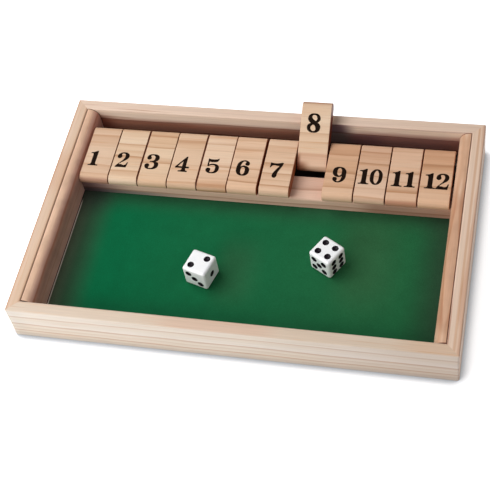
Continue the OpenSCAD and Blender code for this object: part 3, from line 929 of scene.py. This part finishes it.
# Where each die's middle is in mm, its turn about Z in degrees, and how it was tipped before
DICE = {
    "left_die": ((-31.1, -41.1, 16.95), -16.7, Matrix.Identity(4)),
    "right_die": ((59.3, -20.8, 16.95), -30.7, Matrix.Rotation(math.pi, 4, Vector((0, 1, 1)))),
}
for die, (middle, turn, tipped) in DICE.items():
    place = Matrix.Translation(Vector(middle) * MM) @ Matrix.Rotation(math.radians(turn), 4, "Z")
    paints = []
    for face, spots in PIPS.items():
        x_turn, y_turn = (math.radians(a) for a in FACE_TURNS[face])
        facing = Matrix.Rotation(y_turn, 4, "Y") @ Matrix.Rotation(x_turn, 4, "X")
        for a, b in spots:
            pip = painted_pip()
            shift = Matrix.Translation((a * PIP_OFFSET, b * PIP_OFFSET, 0.0))
            pip.matrix_world = place @ tipped @ facing @ shift
            bake_place(pip)
            paints.append(pip)
    select_none()
    for pip in paints:
        pip.select_set(True)
    bpy.context.view_layer.objects.active = paints[0]
    bpy.ops.object.join()
    joined = bpy.context.active_object
    joined.name = die + "_pips"
    joined.data.name = die + "_pips"
    finish_with(black_paint, joined)
    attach(joined, "loose_" + die)
    print(die, "pips:", len(paints))

# %% [markdown]
# ## Floor and light
#
# The floor is a white studio table. It adds some white of its own for the camera and for reflections,
# so that it reaches pure white. Close to the tray that glow fades and the floor's own colour darkens, a
# painted contact shadow that makes an object stand on its table. A large soft lamp stands high on the
# left, a smaller one low in front of it brings out the front rail, a weak one on the right opens the
# shadows, and a pale surrounding fills in the rest.

# %% Floor
FLOOR_WIDE = 12.0
# The table's top lies a hair below the tray, so that the two faces don't fight for the same place
FLOOR_DROP = 0.2 * MM
select_none()
bpy.ops.mesh.primitive_plane_add(size=FLOOR_WIDE, location=(0.0, 0.0, -FLOOR_DROP))
floor = bpy.context.active_object
floor.name = "studio_floor"
white_floor, tree = new_material("white_studio_floor")
# How open each place is: 1 out on the floor, about a half at the foot of the tray's walls
CONTACT_REACH = 9 * MM
near = add(tree, "AmbientOcclusion", {"Distance": CONTACT_REACH}, samples=16)
# The floor's colour darkens where it is less open: a painted contact shadow.
shaded = add(tree, "ValToRGB", {"Fac": near.outputs["AO"]},
             stops=[(0.6, linear("#9398A2")), (0.9, linear("#EEF0F4"))])
matte = add(tree, "BsdfDiffuse", {"Color": shaded.outputs["Color"]})
ray = add(tree, "LightPath")
seen = add(tree, "Math", {0: ray.outputs["Is Camera Ray"], 1: ray.outputs["Is Glossy Ray"]},
           operation="MAXIMUM")
seen_too = add(tree, "Math", {0: seen.outputs[0], 1: ray.outputs["Is Transmission Ray"]},
               operation="MAXIMUM")
# The floor's own white near the tray. Further off the lamps no longer reach, so it gets more there.
FLOOR_GLOW = 0.75
FAR_GLOW = 0.84
# The glow starts to grow and is full this many metres from the tray's middle
GLOW_GROWS = (0.5, 1.5)
where = add(tree, "TexCoord")
away = add(tree, "VectorMath", {0: where.outputs["Object"]}, operation="LENGTH")
most_glow = add(tree, "MapRange", {"Value": away.outputs["Value"], "From Min": GLOW_GROWS[0],
                                   "From Max": GLOW_GROWS[1], "To Min": FLOOR_GLOW,
                                   "To Max": FAR_GLOW})
open_floor = add(tree, "MapRange", {"Value": near.outputs["AO"], "From Min": 0.25, "From Max": 1.0,
                                    "To Max": most_glow.outputs[0]})
glow_level = add(tree, "Math", {0: seen_too.outputs[0], 1: open_floor.outputs[0]},
                 operation="MULTIPLY")
glow = add(tree, "Emission", {"Color": (1.0, 1.0, 1.0, 1.0), "Strength": glow_level.outputs[0]})
both = add(tree, "AddShader", {0: matte.outputs[0], 1: glow.outputs[0]})
add(tree, "OutputMaterial", {"Surface": both.outputs[0]})
finish_with(white_floor, floor)
print("floor laid")

# %% World and lamps
AMBIENT = 0.21
world = bpy.data.worlds.new("pale_studio")
world.use_nodes = True
bpy.context.scene.world = world
tree = world.node_tree
tree.nodes.clear()
ray = add(tree, "LightPath")
seen = add(tree, "Math", {0: ray.outputs["Is Camera Ray"], 1: ray.outputs["Is Transmission Ray"]},
           operation="MAXIMUM")
level = add(tree, "MapRange", {"Value": seen.outputs[0], "To Min": AMBIENT, "To Max": 1.0})
sky = add(tree, "Background", {"Color": (1.0, 1.0, 1.0, 1.0), "Strength": level.outputs[0]})
add(tree, "OutputWorld", {"Surface": sky.outputs[0]})


def soft_lamp(name, towards, distance, size, power):
    """A square lamp that stands in this direction and looks at the tray, in metres and watts."""
    data = bpy.data.lights.new(name, "AREA")
    data.size = size
    data.energy = power
    lamp = bpy.data.objects.new(name, data)
    direction = Vector(towards).normalized()
    lamp.location = direction * distance
    lamp.rotation_mode = "QUATERNION"
    lamp.rotation_quaternion = direction.to_track_quat("Z", "Y")
    bpy.context.scene.collection.objects.link(lamp)


soft_lamp("key_lamp", (-0.55, 0.12, 0.83), 1.15, 0.95, 9.8)
soft_lamp("front_lamp", (-0.55, -0.74, 0.38), 1.0, 0.6, 4.6)
soft_lamp("fill_lamp", (0.75, -0.35, 0.55), 1.3, 0.6, 1.6)
print("lamps:", len(bpy.data.lights))
